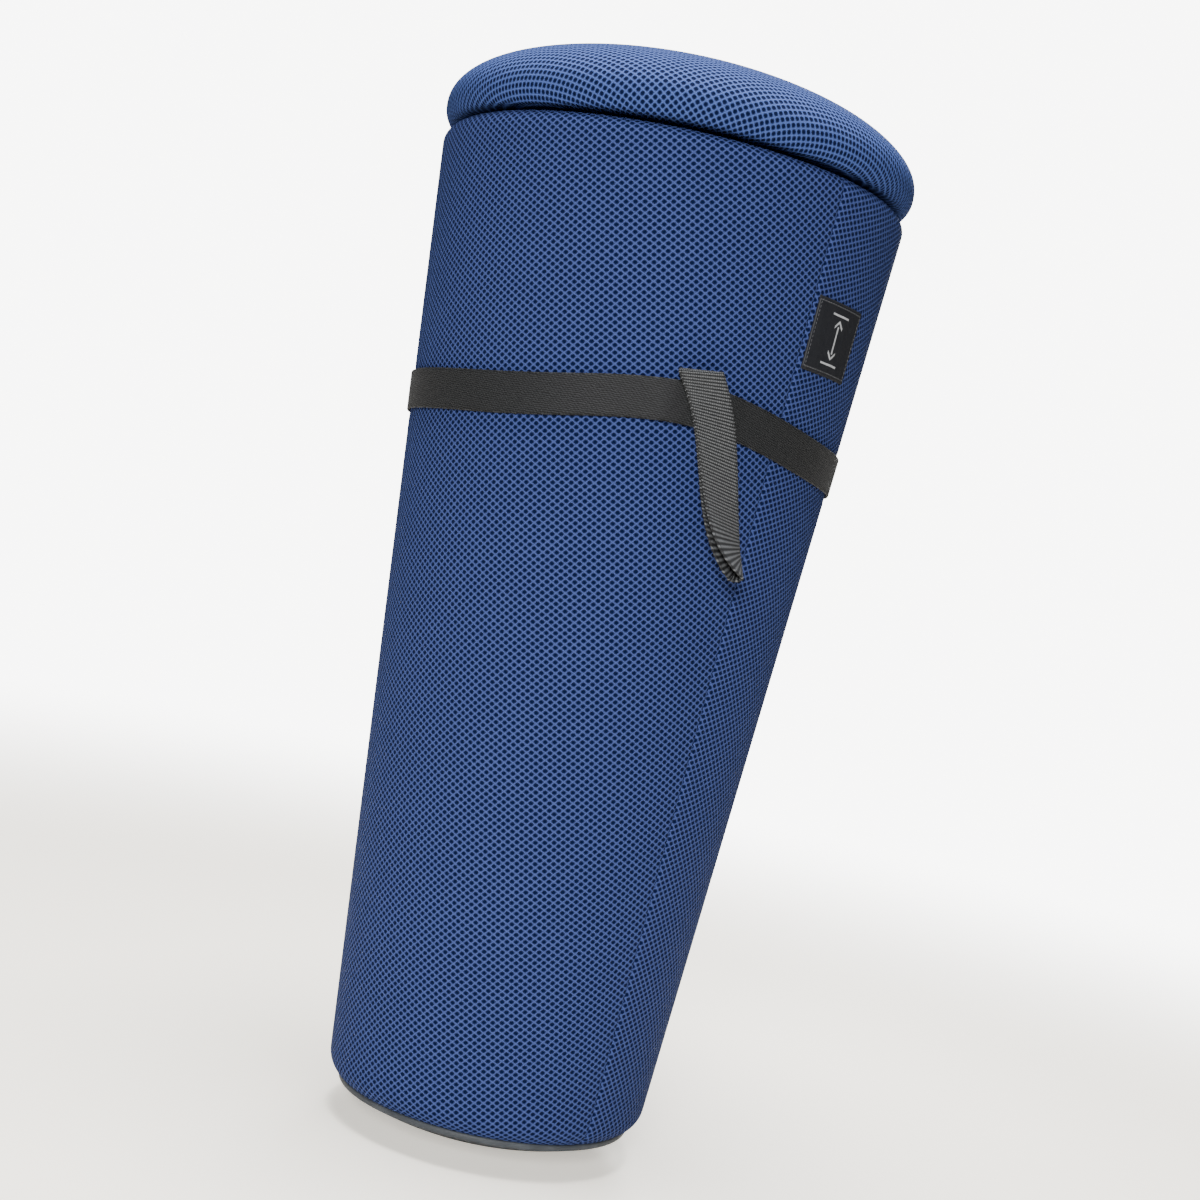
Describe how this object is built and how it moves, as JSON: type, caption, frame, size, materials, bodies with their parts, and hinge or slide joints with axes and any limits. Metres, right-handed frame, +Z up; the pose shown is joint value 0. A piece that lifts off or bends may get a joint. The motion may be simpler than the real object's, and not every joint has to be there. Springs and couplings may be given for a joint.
{
  "type": "sit-stand leaning stool",
  "caption": "Fabric-covered conical stool with a crowned seat that lifts and swivels, a webbing belt with a carry loop, and a domed rubber sole.",
  "frame": {"origin": "middle of the sole's flat, on the floor", "axes": "+Z up along the body's axis; -Y is the front, where the carry loop hangs; +Y is the release paddle's side"},
  "size_m": [0.31, 0.3097, 0.7007],
  "materials": {
    "sole_rubber": "matt moulded rubber",
    "black_plastic": "fine grain moulding",
    "grey_plastic": "fine grain moulding",
    "blue_knit": "open mesh knit with staggered holes",
    "black_webbing": "woven webbing",
    "label_weave": "woven label",
    "black_steel": "satin black paint",
    "bright_steel": "bright zinc",
    "cast_iron": "raw casting",
    "plywood": "raw plywood",
    "foam": "open-cell foam"
  },
  "bodies": {
    "base": {"sole": "sole_rubber", "base_dish": "black_plastic", "outer_shell": "grey_plastic", "body_cover": "blue_knit", "top_collar": "black_plastic", "column_tube": "black_steel", "guide_bush": "grey_plastic", "ballast_ring": "cast_iron", "base_screw_1": "bright_steel", "base_screw_2": "bright_steel", "base_screw_3": "bright_steel", "base_screw_4": "bright_steel", "lower_race": "bright_steel", "ball_cage": "grey_plastic", "webbing_belt": "black_webbing", "loop_anchor": "black_webbing", "side_label": "label_weave"},
    "rod": {"piston_rod": "bright_steel", "piston_head": "grey_plastic", "upper_race": "bright_steel", "rod_clip": "bright_steel"},
    "seat": {"gas_cylinder": "black_steel", "taper_socket": "black_steel", "mount_plate": "black_steel", "lever_bracket": "black_steel", "pivot_pin": "bright_steel", "seat_board": "plywood", "seat_foam": "foam", "seat_cover": "blue_knit", "seat_screw_1": "bright_steel", "seat_screw_2": "bright_steel", "seat_screw_3": "bright_steel", "seat_screw_4": "bright_steel"},
    "lever": {"release_lever": "black_steel"},
    "button": {"valve_button": "bright_steel"},
    "loop": {"carry_loop": "black_webbing"}
  },
  "joints": [
    {"name": "seat_swivel", "type": "hinge", "parent": "base", "child": "rod", "pos_m": [0, 0, 0.2], "axis": [0, 0, 1], "continuous": true},
    {"name": "seat_height", "type": "slide", "parent": "rod", "child": "seat", "axis": [0, 0, 1], "range_m": [0, 0.2]},
    {"name": "release_lever_pivot", "type": "hinge", "parent": "seat", "child": "lever", "pos_m": [0, 0.06, 0.64565], "axis": [1, 0, 0], "range_deg": [0, 3], "stiffness_Nm_per_rad": 2, "springref_deg": -5.73},
    {"name": "valve_button_slide", "type": "slide", "parent": "seat", "child": "button", "axis": [0, 0, -1], "range_m": [0, 0.0032]},
    {"name": "loop_swing", "type": "hinge", "parent": "base", "child": "loop", "pos_m": [0.03775, -0.14411, 0.49796], "axis": [-0.9583, -0.2637, -0.1104], "range_deg": [0, 150]}
  ],
  "couplings": [
    {"joint": "valve_button_slide", "follows": "release_lever_pivot", "m_per_rad": 0.06}
  ]
}
